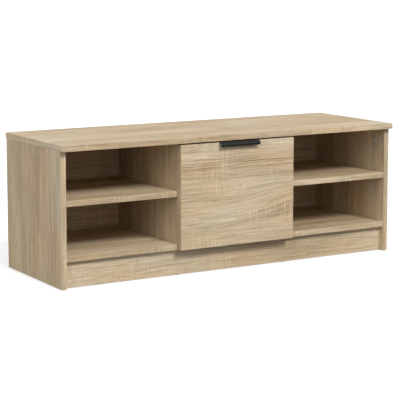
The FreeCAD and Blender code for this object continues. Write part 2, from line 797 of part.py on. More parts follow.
def stay():
    """The flap stay: a strip that hangs on the flap and runs through a swivel guide."""
    pin = V(0, pin_y, pin_z)
    flap_pivot_y = pin_depth + stay_standoff
    start = math.acos(flap_pivot_y / stay_radius)
    guide_angle = start - math.radians(stay_start_angle)
    flap_pivot = pin + V(0, math.cos(start), math.sin(start)) * stay_radius
    guide_pivot = pin + V(0, math.cos(guide_angle), math.sin(guide_angle)) * stay_radius
    run = (guide_pivot - flap_pivot).normalize()
    open_angle = math.radians(stay_start_angle + 90)
    longest_run = 2 * stay_radius * math.sin(open_angle / 2)
    stop_start = longest_run + guide_length / 2 + 0.5
    x = divider_inner - stay_plane
    half = stay_sheet / 2

    def along(start_run, end_run, tall, x0, x1, origin):
        shape = block(start_run, end_run, -tall / 2, tall / 2, x0, x1)
        return moved(shape, V(0, origin.y, origin.z), RIGHT, run)

    # strip and its stop
    end_run = stop_start + stop_length
    strip = along(0, end_run - 1, stay_height, x - half, x + half, flap_pivot)
    eye = rod(V(x - half, flap_pivot.y, flap_pivot.z), RIGHT, stay_sheet, stay_height / 2 + 0.6)
    far = flap_pivot + run * (end_run - 1)
    tail = rod(V(x - half, far.y, far.z), RIGHT, stay_sheet, stay_height / 2)
    bore = rod(V(x - 10, flap_pivot.y, flap_pivot.z), RIGHT, 20, stay_rivet_radius + running)
    arm = strip.fuse([eye, tail]).removeSplitter().cut(bore)
    stop = along(stop_start, end_run, stop_height, x - stop_thickness / 2,
                 x + stop_thickness / 2, flap_pivot)
    long_edges = [e for e in stop.Edges if abs(e.Length - stop_length) < 1e-6]
    stop = stop.makeFillet(1.2, long_edges).cut([strip, tail])

    # swivel guide
    x0 = divider_inner - guide_front
    x1 = divider_inner - guide_back
    body = along(-guide_length / 2, guide_length / 2, guide_height, x0, x1, guide_pivot)
    corners = [e for e in body.Edges if abs(e.Length - (x1 - x0)) < 1e-6]
    body = body.makeFillet(5.0, corners)
    slot = along(
        -guide_length, guide_length, stay_height + 2 * guide_slack,
        x - half - guide_slack, x + half + guide_slack, guide_pivot,
    )
    pin_end = x + half + guide_slack + 0.7
    socket = rod(
        V(pin_end - 0.3, guide_pivot.y, guide_pivot.z), RIGHT,
        divider_inner - pin_end, stay_pin_radius + running,
    )
    guide = body.cut([slot, socket])

    # base on the divider, with the pin that the guide swivels on
    plate = block(
        divider_inner - base_sheet, divider_inner,
        guide_pivot.y - base_width / 2, guide_pivot.y + base_width / 2,
        guide_pivot.z - base_length / 2, guide_pivot.z + base_length / 2,
    )
    short = [e for e in plate.Edges if abs(e.Length - base_sheet) < 1e-6]
    plate = plate.makeFillet(base_width / 2 - 0.5, short)
    stud = rod(
        V(pin_end, guide_pivot.y, guide_pivot.z), RIGHT,
        divider_inner - base_sheet - pin_end + 0.5, stay_pin_radius,
    )
    places = []
    for step in (-1, 1):
        z = guide_pivot.z + step * base_screw_spacing / 2
        places.append((V(divider_inner - base_sheet, guide_pivot.y, z), RIGHT))
    base_fixings = screws(places, 13, 1.75, 3.2, "stay_base", "divider_right")
    base = with_bores("stay_base", plate.fuse(stud).removeSplitter())

    # bracket on the flap, with the rivet that carries the strip
    ear_x1 = x - half - 0.7
    ear_x0 = ear_x1 - bracket_sheet
    foot = block(
        ear_x1 - bracket_foot, ear_x1, flap_inner, flap_inner + bracket_sheet,
        flap_pivot.z - bracket_height / 2, flap_pivot.z + bracket_height / 2,
    )
    short = [
        e for e in foot.Edges
        if abs(e.Length - bracket_sheet) < 1e-6 and e.CenterOfMass.x < ear_x0
    ]
    foot = foot.makeFillet(4.0, short)
    ear = block(
        ear_x0, ear_x1, flap_inner, flap_pivot.y,
        flap_pivot.z - 6, flap_pivot.z + 6,
    )
    nose = rod(V(ear_x0, flap_pivot.y, flap_pivot.z), RIGHT, bracket_sheet, 6)
    hole = rod(V(ear_x0 - 1, flap_pivot.y, flap_pivot.z), RIGHT, 5, stay_rivet_radius + snug)
    rivet = turned_profile([
        (0, -1.2),
        (stay_rivet_radius + 0.8, -1.2),
        (stay_rivet_radius + 1.5, -0.4),
        (stay_rivet_radius + 1.5, 0),
        (stay_rivet_radius, 0),
        (stay_rivet_radius, x + half + 0.3 - ear_x0),
        (stay_rivet_radius + 1.5, x + half + 0.3 - ear_x0),
        (stay_rivet_radius + 1.5, x + half + 0.7 - ear_x0),
        (stay_rivet_radius + 0.8, x + half + 1.5 - ear_x0),
        (0, x + half + 1.5 - ear_x0),
    ])
    places = []
    for step in (-1, 1):
        z = flap_pivot.z + step * bracket_screw_spacing / 2
        middle = ear_x1 - bracket_foot / 2 - bracket_sheet / 2
        places.append((V(middle, flap_inner + bracket_sheet, z), FRONT))
    bracket_fixings = screws(places, 12, 1.75, 3.2, "stay_bracket", "door_panel")
    bracket = foot.fuse([ear, nose]).removeSplitter().cut(hole)
    return {
        "stay_arm": arm,
        "stay_stop": stop,
        "stay_guide": guide,
        "stay_base": base,
        "stay_base_screws": base_fixings,
        "stay_bracket": with_bores("stay_bracket", bracket),
        "stay_bracket_screws": bracket_fixings,
        "stay_rivet": moved(rivet, V(ear_x0, flap_pivot.y, flap_pivot.z), RIGHT, BACK),
    }


def door():
    """The flap's board, and the band round its four edges."""
    half = flap_half
    y0 = flap_outer
    y1 = flap_inner
    core = block(-half + band, half - band, y0, y1, flap_bottom + band, flap_top - band)
    strips = [
        rounded(block(-half, half, y0, y1, flap_top - band, flap_top), UP, ends=True),
        rounded(block(-half, half, y0, y1, flap_bottom, flap_bottom + band), DOWN, ends=True),
        rounded(block(-half, band - half, y0, y1, flap_bottom + band, flap_top - band), LEFT),
        rounded(block(half - band, half, y0, y1, flap_bottom + band, flap_top - band), RIGHT),
    ]
    return {"door_panel": with_bores("door_panel", core), "door_edge_band": strips}


def main():
    """Make the hardware first, so that each board is built with all of its bores."""
    nodes = {}
    hardware = (
        carcass_joints, divider_screws, shelf_pins, plinth_blocks, floor_glides, back_panel,
        hinges, handle, bumpers, catch, stay,
    )
    boards = (top, uprights, bottom, shelves, plinths, door)
    for make in hardware + boards:
        nodes.update(make())
    os.makedirs("parts", exist_ok=True)
    for name, shape in nodes.items():
        if isinstance(shape, list):
            shape = Part.makeCompound(shape)
        shape.exportStep(f"parts/{name}.step")
    print(f"{len(nodes)} nodes")


main()
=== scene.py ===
import logging
import math
from abc import ABC, abstractmethod
from dataclasses import dataclass
from enum import Enum

import bmesh
import bpy
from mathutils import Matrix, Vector


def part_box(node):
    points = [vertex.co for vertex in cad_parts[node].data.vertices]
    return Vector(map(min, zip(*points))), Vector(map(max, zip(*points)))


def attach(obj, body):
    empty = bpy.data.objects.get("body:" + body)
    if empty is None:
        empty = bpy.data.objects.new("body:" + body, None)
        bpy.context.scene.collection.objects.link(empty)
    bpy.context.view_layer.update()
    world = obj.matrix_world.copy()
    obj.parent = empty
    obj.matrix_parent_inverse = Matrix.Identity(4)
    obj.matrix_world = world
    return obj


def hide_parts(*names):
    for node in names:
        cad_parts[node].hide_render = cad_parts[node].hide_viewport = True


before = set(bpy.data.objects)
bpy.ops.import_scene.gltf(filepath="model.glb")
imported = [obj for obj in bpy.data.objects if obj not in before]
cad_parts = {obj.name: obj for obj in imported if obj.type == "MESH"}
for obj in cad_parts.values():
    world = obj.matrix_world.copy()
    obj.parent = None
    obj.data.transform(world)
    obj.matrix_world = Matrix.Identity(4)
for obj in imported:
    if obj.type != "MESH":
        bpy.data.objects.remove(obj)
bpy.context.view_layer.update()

# A low television stand in printed oak laminate. Every length is in metres, in the frame of the
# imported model: +Z is up, the front faces -Y and the origin is on the floor.

LOG = logging.getLogger("television_stand")
MM = 0.001
SKIN = 0.25 * MM
LAMINATE_SHEEN = 0.22
NOWHERE = -9.0

Socket = bpy.types.NodeSocket
Material = bpy.types.Material
Colour = tuple[float, float, float, float]
Triple = tuple[float, float, float]


def paint(red: int, green: int, blue: int) -> Colour:
    """Turns a colour as it is seen, from 0 to 255, into the linear one that shaders take.

    Args:
        red: The red share.
        green: The green share.
        blue: The blue share.

    Returns:
        The linear colour, with an alpha of 1.
    """
    def linear(share: int) -> float:
        """Undoes the display's curve for one share."""
        value = share / 255
        return value / 12.92 if value <= 0.04045 else ((value + 0.055) / 1.055) ** 2.4

    return linear(red), linear(green), linear(blue), 1.0


def grey(level: float) -> Colour:
    """A linear grey of that level."""
    return level, level, level, 1.0


class Graph:
    """A shader node tree, with one short call for each kind of node that the finishes use."""

    def __init__(self, tree: bpy.types.NodeTree) -> None:
        """Keeps the tree to draw in."""
        self.tree = tree

    def feed(self, socket: Socket, value: object) -> None:
        """Links a socket to the value, or sets it as the socket's own.

        Args:
            socket: The input to fill.
            value: Another node's output, or a plain value.
        """
        if isinstance(value, bpy.types.NodeSocket):
            self.tree.links.new(value, socket)
        else:
            socket.default_value = value

    def add(self, kind: str, feeds: dict[str | int, object], **settings: object) -> bpy.types.Node:
        """Adds a node.

        Args:
            kind: The node's type.
            feeds: What each input takes, by name or place.
            **settings: The node's own settings.

        Returns:
            The node.
        """
        node = self.tree.nodes.new(kind)
        for name, value in settings.items():
            setattr(node, name, value)
        for name, value in feeds.items():
            self.feed(node.inputs[name], value)
        return node

    def sum(self, operation: str, *terms: object, clamp: bool = False) -> Socket:
        """One math operation.

        Args:
            operation: Its name.
            *terms: The numbers or outputs that it takes, in order.
            clamp: Whether the result is kept from 0 to 1.

        Returns:
            The result.
        """
        node = self.add("ShaderNodeMath", {}, operation=operation, use_clamp=clamp)
        for place, value in enumerate(terms):
            self.feed(node.inputs[place], value)
        return node.outputs[0]

    def vector(self, operation: str, a: object, b: object) -> Socket:
        """One operation on two vectors."""
        node = self.add("ShaderNodeVectorMath", {0: a, 1: b}, operation=operation)
        return node.outputs[0]

    def split(self, place: Socket) -> tuple[Socket, Socket, Socket]:
        """A vector's three numbers."""
        node = self.add("ShaderNodeSeparateXYZ", {0: place})
        return node.outputs[0], node.outputs[1], node.outputs[2]

    def join(self, x: object, y: object, z: object) -> Socket:
        """Three numbers as a vector."""
        return self.add("ShaderNodeCombineXYZ", {0: x, 1: y, 2: z}).outputs[0]

    def noise(self, place: Socket, stretch: Triple, detail: float = 2.0, rough: float = 0.5) -> Socket:
        """Smooth noise from 0 to 1.

        Args:
            place: Where to read it, in metres.
            stretch: How many features a metre holds, each way.
            detail: How many finer layers are added.
            rough: How strong the finer layers are.

        Returns:
            The noise's value.
        """
        scaled = self.vector("MULTIPLY", place, stretch)
        feeds = {"Vector": scaled, "Scale": 1.0, "Detail": detail, "Roughness": rough}
        return self.add("ShaderNodeTexNoise", feeds).outputs[0]

    def rise(self, value: object, low: float, high: float, to: tuple[float, float] = (0.0, 1.0)) -> Socket:
        """A smooth step of the value.

        Args:
            value: What is read.
            low: Where the step starts.
            high: Where it ends.
            to: What it gives at the start and at the end.

        Returns:
            The step's value.
        """
        feeds = {"Value": value, "From Min": low, "From Max": high, "To Min": to[0], "To Max": to[1]}
        return self.add("ShaderNodeMapRange", feeds, interpolation_type="SMOOTHSTEP").outputs[0]

    def mix(self, share: object, a: object, b: object) -> Socket:
        """One number that goes from a to b."""
        return self.add("ShaderNodeMix", {0: share, 2: a, 3: b}, data_type="FLOAT").outputs[0]

    def mix_place(self, share: object, a: object, b: object) -> Socket:
        """One vector that goes from a to b."""
        return self.add("ShaderNodeMix", {0: share, 4: a, 5: b}, data_type="VECTOR").outputs[1]

    def tint(self, share: object, a: object, b: object, way: str = "MIX") -> Socket:
        """One colour that goes from a to b, or is blended with it.

        Args:
            share: How much of the blend shows.
            a: The first colour.
            b: The second colour.
            way: The blend's kind.

        Returns:
            The colour.
        """
        node = self.add("ShaderNodeMix", {0: share, 6: a, 7: b}, data_type="RGBA", blend_type=way)
        return node.outputs[2]

    def ramp(self, value: Socket, stops: list[tuple[float, Colour]]) -> Socket:
        """A run of colours along a value.

        Args:
            value: What is read.
            stops: Each place and its colour, in order.

        Returns:
            The colour.
        """
        node = self.add("ShaderNodeValToRGB", {0: value})
        band = node.color_ramp
        for place, colour in stops[1:-1]:
            band.elements.new(place).color = colour
        for element, (place, colour) in zip((band.elements[0], band.elements[-1]), (stops[0], stops[-1])):
            element.position = place
            element.color = colour
        return node.outputs[0]


class Effect(ABC):
    """A surface effect that is built once as a node group and placed in many finishes."""

    title: str
    takes: dict[str, tuple[str, object]]
    gives: dict[str, str]

    @abstractmethod
    def draw(self, graph: Graph, take: dict[str, Socket]) -> dict[str, Socket]:
        """Draws the group's nodes.

        Args:
            graph: The group's tree.
            take: The group's inputs by name.

        Returns:
            What each output gives.
        """

    def tree(self) -> bpy.types.NodeTree:
        """The group, which is built the first time it is asked for."""
        made = bpy.data.node_groups.get(self.title)
        if made is not None:
            return made
        made = bpy.data.node_groups.new(self.title, "ShaderNodeTree")
        for name, (kind, value) in self.takes.items():
            made.interface.new_socket(name, in_out="INPUT", socket_type=kind).default_value = value
        for name, kind in self.gives.items():
            made.interface.new_socket(name, in_out="OUTPUT", socket_type=kind)
        graph = Graph(made)
        entry = graph.add("NodeGroupInput", {})
        take = {name: entry.outputs[name] for name in self.takes}
        graph.add("NodeGroupOutput", self.draw(graph, take))
        return made

    def place(self, graph: Graph, **values: object) -> dict[str, Socket]:
        """Places the group in a finish.

        Args:
            graph: The finish's tree.
            **values: What each input takes, with _ for a space in its name.

        Returns:
            The group's outputs by name.
        """
        node = graph.add("ShaderNodeGroup", {}, node_tree=self.tree())
        for name, value in values.items():
            graph.feed(node.inputs[name.replace("_", " ")], value)
        return {name: node.outputs[name] for name in self.gives}


NUMBER = "NodeSocketFloat"
PLACE = "NodeSocketVector"
TONE = "NodeSocketColor"
SURFACE = {"Color": TONE, "Roughness": NUMBER, "Height": NUMBER}
WEAR = {"Tone": NUMBER, "Roughness": NUMBER, "Height": NUMBER}


class OakPrint(Effect):
    """The printed oak of the laminate: long streaks, growth lines, pores and saw marks.

    Its place holds the distance along the grain, across it and into the board. Heart is where a
    run of strong growth lines lies across the board, and Sweep lifts the lines beside Sweep At
    towards the board's far end.
    """

    title = "oak_print"
    takes = {
        "Place": (PLACE, (0.0, 0.0, 0.0)),
        "Seed": (NUMBER, 0.0),
        "Sway": (NUMBER, 0.02),
        "Rings": (NUMBER, 0.5),
        "Saw": (NUMBER, 0.5),
        "Heart": (NUMBER, NOWHERE),
        "Sweep": (NUMBER, 0.0),
        "Sweep At": (NUMBER, 0.0),
    }
    gives = SURFACE
    heart_width = 0.034
    sweep_width = 0.075
    sweep_run = 0.19
    ring_pitch = 0.0082

    def window(self, graph: Graph, value: Socket, middle: Socket, width: float) -> Socket:
        """A smooth hump of 1 at the middle that is 0 one width away.

        Args:
            graph: The tree to draw in.
            value: What is read.
            middle: Where the hump stands.
            width: How far it reaches.

        Returns:
            The hump's height.
        """
        away = graph.sum("ABSOLUTE", graph.sum("SUBTRACT", value, middle))
        return graph.rise(away, width, 0.0)

    def shade(
        self, graph: Graph, base: object, value: Socket, stops: list[tuple[float, float]],
    ) -> Socket:
        """Darkens or lightens a colour by a ramp of greys along a value.

        Args:
            graph: The tree to draw in.
            base: The colour.
            value: What is read.
            stops: Each place and its grey, in order.

        Returns:
            The colour with that shade over it.
        """
        shades = graph.ramp(value, [(at, grey(level)) for at, level in stops])
        return graph.tint(1.0, base, shades, "MULTIPLY")

    def draw(self, graph: Graph, take: dict[str, Socket]) -> dict[str, Socket]:
        """Draws the print, as Effect says."""
        seed = graph.join(*[graph.sum("MULTIPLY", take["Seed"], step) for step in (1.71, 0.93, 0.37)])
        own_along, own_across, _ = graph.split(take["Place"])
        moved = graph.vector("ADD", take["Place"], seed)
        along, across, depth = graph.split(moved)
        bend = graph.sum("SUBTRACT", graph.noise(moved, (2.2, 5.0, 5.0), 1.0), 0.5)
        ripple = graph.sum("SUBTRACT", graph.noise(moved, (22.0, 50.0, 50.0), 2.0), 0.5)
        drift = graph.sum("MULTIPLY_ADD", bend, take["Sway"], graph.sum("MULTIPLY", ripple, 0.0045))
        lift = graph.sum("MULTIPLY", graph.rise(own_along, -0.02, self.sweep_run), take["Sweep"])
        lift = graph.sum("MULTIPLY", lift, self.window(graph, own_across, take["Sweep At"], self.sweep_width))
        place = graph.join(along, graph.sum("ADD", across, graph.sum("SUBTRACT", drift, lift)), depth)

        tone = graph.noise(place, (1.5, 12.0, 12.0), 2.0)
        hue = graph.noise(graph.vector("ADD", place, (3.1, 1.7, 0.6)), (6.0, 17.0, 17.0), 2.0)
        streak = graph.noise(place, (4.5, 120.0, 120.0), 4.0, 0.62)
        hair = graph.noise(place, (17.0, 400.0, 400.0), 3.0, 0.62)
        fleck = graph.noise(place, (38.0, 1300.0, 1300.0), 1.0)

        base = graph.ramp(tone, [
            (0.34, paint(180, 158, 127)),
            (0.46, paint(192, 171, 140)),
            (0.56, paint(199, 179, 149)),
            (0.68, paint(210, 193, 167)),
        ])
        base = graph.tint(1.0, base, graph.ramp(hue, [
            (0.34, (0.965, 0.988, 1.01, 1.0)),
            (0.46, (0.993, 0.995, 0.975, 1.0)),
            (0.54, (1.01, 0.995, 0.98, 1.0)),
            (0.66, (1.035, 0.988, 0.95, 1.0)),
        ]), "MULTIPLY")
        base = self.shade(graph, base, streak, [(0.32, 0.76), (0.46, 0.96), (0.60, 1.06), (0.72, 1.15)])
        base = self.shade(graph, base, hair, [(0.30, 0.76), (0.47, 0.97), (0.68, 1.14)])

        turn = graph.sum("DIVIDE", graph.split(place)[1], self.ring_pitch)
        turn = graph.sum("MULTIPLY_ADD", graph.noise(place, (3.0, 20.0, 20.0), 1.0), 3.0, turn)
        wave = graph.sum("SINE", graph.sum("MULTIPLY", turn, math.tau))
        patchy = graph.rise(graph.noise(place, (2.0, 7.0, 7.0), 1.0), 0.52, 0.66)
        heart = self.window(graph, own_across, take["Heart"], self.heart_width)
        where = graph.sum("MAXIMUM", graph.sum("MULTIPLY", patchy, 0.6), heart)
        ring = graph.sum("MULTIPLY", graph.rise(wave, 0.1, 0.95), where)
        ring = graph.sum("MULTIPLY", ring, take["Rings"])
        ring = graph.sum("MULTIPLY", ring, graph.rise(hair, 0.66, 0.34, (0.45, 1.0)), clamp=True)
        base = graph.tint(ring, base, graph.tint(1.0, base, (0.66, 0.54, 0.44, 1.0), "MULTIPLY"))

        pore = graph.sum("MULTIPLY", graph.rise(fleck, 0.62, 0.72), 0.6)
        base = graph.tint(pore, base, graph.tint(1.0, base, (0.52, 0.44, 0.36, 1.0), "MULTIPLY"))

        patch = graph.rise(graph.noise(moved, (8.0, 12.0, 12.0), 1.0), 0.50, 0.64, (0.12, 1.0))
        patch = graph.sum("MULTIPLY", patch, take["Saw"])
        cut = graph.noise(moved, (210.0, 16.0, 16.0), 2.0, 0.6)
        crest = graph.sum("MULTIPLY", graph.rise(cut, 0.50, 0.64), patch)
        trough = graph.sum("MULTIPLY", graph.rise(cut, 0.49, 0.36), patch)
        base = graph.tint(graph.sum("MULTIPLY", crest, 0.40), base, paint(222, 207, 179))
        base = graph.tint(graph.sum("MULTIPLY", trough, 0.30), base, paint(152, 129, 99))

        rough = graph.sum("MULTIPLY_ADD", streak, -0.16, 0.58)
        rough = graph.sum("MULTIPLY_ADD", pore, 0.18, rough)
        height = graph.sum("MULTIPLY_ADD", hair, 0.35, graph.sum("MULTIPLY", streak, 0.25))
        height = graph.sum("MULTIPLY_ADD", pore, -0.8, height)
        height = graph.sum("MULTIPLY_ADD", trough, -0.35, height)
        return {"Color": base, "Roughness": rough, "Height": height}


class ChipCore(Effect):
    """Raw chipboard, as a sawn edge or a bore shows it: pressed chips of several browns."""

    title = "chip_core"
    takes = {"Place": (PLACE, (0.0, 0.0, 0.0)), "Seed": (NUMBER, 0.0)}
    gives = SURFACE

    def draw(self, graph: Graph, take: dict[str, Socket]) -> dict[str, Socket]:
        """Draws the chips, as Effect says."""
        place = graph.vector("ADD", take["Place"], graph.join(take["Seed"], 0.0, take["Seed"]))
        wander = graph.noise(place, (160.0, 160.0, 160.0), 2.0)
        place = graph.vector("ADD", place, graph.join(graph.sum("MULTIPLY", wander, 0.003), 0.0, 0.0))
        feeds = {"Vector": graph.vector("MULTIPLY", place, (380.0, 380.0, 620.0)), "Scale": 1.0}
        chips = graph.add("ShaderNodeTexVoronoi", feeds, feature="F1")
        which = graph.split(chips.outputs["Color"])[0]
        base = graph.ramp(which, [
            (0.0, paint(118, 88, 58)),
            (0.25, paint(160, 127, 88)),
            (0.6, paint(186, 154, 112)),
            (1.0, paint(211, 184, 143)),
        ])
        fibre = graph.noise(place, (900.0, 900.0, 1500.0), 3.0)
        base = graph.tint(1.0, base, graph.ramp(fibre, [(0.3, grey(0.72)), (0.7, grey(1.15))]), "MULTIPLY")
        gap = graph.rise(chips.outputs["Distance"], 0.62, 0.9)
        base = graph.tint(gap, base, paint(84, 62, 42))
        rough = graph.sum("MULTIPLY_ADD", fibre, 0.2, 0.75)
        height = graph.sum("MULTIPLY_ADD", gap, -1.0, graph.sum("ADD", which, fibre))
        return {"Color": base, "Roughness": rough, "Height": height}


class FibreFace(Effect):
    """The bare face of hardboard: brown felted fibre with the pressed mark of its screen."""

    title = "fibre_face"
    takes = {"Place": (PLACE, (0.0, 0.0, 0.0))}
    gives = SURFACE

    def draw(self, graph: Graph, take: dict[str, Socket]) -> dict[str, Socket]:
        """Draws the fibre and the screen, as Effect says."""
        place = take["Place"]
        cloud = graph.noise(place, (9.0, 9.0, 9.0), 4.0, 0.6)
        fibre = graph.noise(place, (700.0, 700.0, 260.0), 4.0, 0.7)
        base = graph.ramp(cloud, [(0.3, paint(150, 119, 86)), (0.7, paint(164, 133, 98))])
        base = graph.tint(1.0, base, graph.ramp(fibre, [(0.3, grey(0.8)), (0.7, grey(1.15))]), "MULTIPLY")
        x, _, z = graph.split(place)
        threads = [graph.sum("SINE", graph.sum("MULTIPLY", side, math.tau / (1.6 * MM))) for side in (x, z)]
        screen = graph.sum("MULTIPLY", threads[0], threads[1])
        height = graph.sum("MULTIPLY_ADD", screen, 0.35, fibre)
        rough = graph.sum("MULTIPLY_ADD", cloud, 0.2, 0.68)
        return {"Color": base, "Roughness": rough, "Height": height}


class Plating(Effect):
    """What plated or bare metal shows up close: clouded gloss, drawn lines and fine pits."""

    title = "plating"
    takes = {
        "Place": (PLACE, (0.0, 0.0, 0.0)),
        "Gloss": (NUMBER, 0.3),
        "Pits": (NUMBER, 0.3),
        "Drawn": (NUMBER, 0.5),
    }
    gives = WEAR

    def draw(self, graph: Graph, take: dict[str, Socket]) -> dict[str, Socket]:
        """Draws the metal's marks, as Effect says."""
        place = take["Place"]
        cloud = graph.noise(place, (70.0, 70.0, 70.0), 3.0, 0.6)
        drawn = graph.noise(place, (240.0, 240.0, 5200.0), 2.0, 0.6)
        pits = graph.rise(graph.noise(place, (2300.0, 2300.0, 2300.0), 2.0), 0.60, 0.74)
        pits = graph.sum("MULTIPLY", pits, take["Pits"])
        drawn = graph.sum("MULTIPLY", graph.sum("SUBTRACT", drawn, 0.5), take["Drawn"])
        tone = graph.sum("MULTIPLY_ADD", cloud, 0.22, 0.88)
        tone = graph.sum("MULTIPLY_ADD", pits, -0.3, graph.sum("MULTIPLY_ADD", drawn, 0.25, tone))
        rough = graph.sum("MULTIPLY_ADD", graph.sum("SUBTRACT", cloud, 0.5), 0.35, take["Gloss"])
        rough = graph.sum("MULTIPLY_ADD", pits, 0.25, graph.sum("MULTIPLY_ADD", drawn, 0.3, rough))
        height = graph.sum("MULTIPLY_ADD", pits, -1.0, drawn)
        return {"Tone": tone, "Roughness": rough, "Height": height}


class Moulding(Effect):
    """The skin of a moulded or coated surface: an even fine grain with faint clouds."""

    title = "moulding"
    takes = {
        "Place": (PLACE, (0.0, 0.0, 0.0)),
        "Gloss": (NUMBER, 0.4),
        "Grain": (NUMBER, 1500.0),
    }
    gives = WEAR

    def draw(self, graph: Graph, take: dict[str, Socket]) -> dict[str, Socket]:
        """Draws the grain, as Effect says."""
        place = take["Place"]
        cloud = graph.noise(place, (45.0, 45.0, 45.0), 3.0)
        spread = graph.join(take["Grain"], take["Grain"], take["Grain"])
        feeds = {"Vector": graph.vector("MULTIPLY", place, spread), "Scale": 1.0, "Detail": 2.0}
        grain = graph.add("ShaderNodeTexNoise", feeds).outputs[0]
        tone = graph.sum("MULTIPLY_ADD", cloud, 0.16, graph.sum("MULTIPLY_ADD", grain, 0.12, 0.86))
        rough = graph.sum("MULTIPLY_ADD", graph.sum("SUBTRACT", cloud, 0.5), 0.25, take["Gloss"])
        rough = graph.sum("MULTIPLY_ADD", graph.sum("SUBTRACT", grain, 0.5), 0.2, rough)
        return {"Tone": tone, "Roughness": rough, "Height": grain}


class EdgeRub(Effect):
    """A mask of the arrises of a box, broken up as handling rubs them."""

    title = "edge_rub"
    takes = {
        "Place": (PLACE, (0.0, 0.0, 0.0)),
        "Low": (PLACE, (0.0, 0.0, 0.0)),
        "High": (PLACE, (1.0, 1.0, 1.0)),
        "Width": (NUMBER, 1.2 * MM),
    }
    gives = {"Mask": NUMBER}

    def draw(self, graph: Graph, take: dict[str, Socket]) -> dict[str, Socket]:
        """Draws the mask, as Effect says. Near an arris, the second smallest inset is small."""
        place = take["Place"]
        from_low = graph.vector("SUBTRACT", place, take["Low"])
        from_high = graph.vector("SUBTRACT", take["High"], place)
        a, b, c = graph.split(graph.vector("MINIMUM", from_low, from_high))
        less = graph.sum("MINIMUM", a, b)
        more = graph.sum("MAXIMUM", a, b)
        second = graph.sum("MAXIMUM", less, graph.sum("MINIMUM", more, c))
        share = graph.sum("SUBTRACT", 1.0, graph.sum("DIVIDE", second, take["Width"]), clamp=True)
        broken = graph.rise(graph.noise(place, (60.0, 60.0, 60.0), 4.0, 0.7), 0.42, 0.62)
        return {"Mask": graph.sum("MULTIPLY", share, broken)}


OAK_PRINT = OakPrint()
CHIP_CORE = ChipCore()
FIBRE_FACE = FibreFace()
PLATING = Plating()
MOULDING = Moulding()
EDGE_RUB = EdgeRub()


class Grain(Enum):
    """Which axis the grain runs along, then the one across the face, then the one into it."""

    LENGTHWISE_FLAT = "xyz"
    LENGTHWISE_UPRIGHT = "xzy"
    UPWARDS = "zyx"
    FRONT_TO_BACK = "yzx"


class Thickness(Enum):
    """The axis that a board is thin along."""

    X = 0
    Y = 1
    Z = 2


class Surface:
    """A material under construction: its tree, its shader and the place on the piece."""

    def __init__(self, name: str) -> None:
        """Starts a material with one Principled shader.

        Args:
            name: The material's name.
        """
        self.material = bpy.data.materials.new(name)
        self.material.use_nodes = True
        self.material.node_tree.nodes.clear()
        self.graph = Graph(self.material.node_tree)
        self.shader = self.graph.add("ShaderNodeBsdfPrincipled", {})
        self.graph.add("ShaderNodeOutputMaterial", {"Surface": self.shader.outputs[0]})
        self.place = self.graph.add("ShaderNodeTexCoord", {}).outputs["Object"]

    def turned(self, grain: Grain) -> Socket:
        """The place with its axes in the grain's order.

        Args:
            grain: Which way the grain runs.

        Returns:
            The distance along the grain, across it and into the board.
        """
        x, y, z = self.graph.split(self.place)
        axes = {"x": x, "y": y, "z": z}
        return self.graph.join(*[axes[letter] for letter in grain.value])

    def finish(
        self, colour: object, rough: object, height: Socket, depth: float, strength: float,
    ) -> Material:
        """Feeds the shader.

        Args:
            colour: The base colour.
            rough: The roughness.
            height: The relief, which a Bump node turns into a normal.
            depth: The relief's depth, in metres.
            strength: How strongly it shows.

        Returns:
            The finished material.
        """
        feeds = {"Height": height, "Distance": depth, "Strength": strength}
        bump = self.graph.add("ShaderNodeBump", feeds)
        self.graph.feed(self.shader.inputs["Base Color"], colour)
        self.graph.feed(self.shader.inputs["Roughness"], rough)
        self.graph.feed(self.shader.inputs["Normal"], bump.outputs[0])
        return self.material


@dataclass(frozen=True)
class OakBoard:
    """Laminated chipboard: printed oak on both faces, and raw chips on what is sawn or bored."""

    name: str
    grain: Grain
    thickness: Thickness
    seed: float
    sway: float = 0.02
    rings: float = 0.45
    saw: float = 0.5
    heart: float = NOWHERE
    sweep: float = 0.0
    sweep_at: float = 0.0
    rubbed: Colour = paint(222, 206, 180)
    rub_share: float = 0.35
    print_relief: float = 0.35
    relief: float = 0.2 * MM

    def material(self) -> Material:
        """Makes the board's material from the box of its own node."""
        surface = Surface(f"oak_{self.name}")
        graph = surface.graph
        oak = OAK_PRINT.place(
            graph, Place=surface.turned(self.grain), Seed=self.seed, Sway=self.sway, Rings=self.rings,
            Saw=self.saw, Heart=self.heart, Sweep=self.sweep, Sweep_At=self.sweep_at,
        )
        core = CHIP_CORE.place(graph, Place=surface.place, Seed=self.seed)
        low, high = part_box(self.name)
        axis = self.thickness.value
        middle = (low[axis] + high[axis]) / 2
        half = (high[axis] - low[axis]) / 2
        offset = graph.sum("ABSOLUTE", graph.sum("SUBTRACT", graph.split(surface.place)[axis], middle))
        skin = graph.sum("GREATER_THAN", offset, half - SKIN)
        rub = EDGE_RUB.place(graph, Place=surface.place, Low=low, High=high)["Mask"]
        face = graph.tint(graph.sum("MULTIPLY", rub, self.rub_share), oak["Color"], self.rubbed)
        colour = graph.tint(skin, core["Color"], face)
        rough = graph.mix(skin, core["Roughness"], oak["Roughness"])
        height = graph.mix(skin, core["Height"], graph.sum("MULTIPLY", oak["Height"], self.print_relief))
        surface.shader.inputs["Specular IOR Level"].default_value = LAMINATE_SHEEN
        return surface.finish(colour, rough, height, self.relief, 0.55)


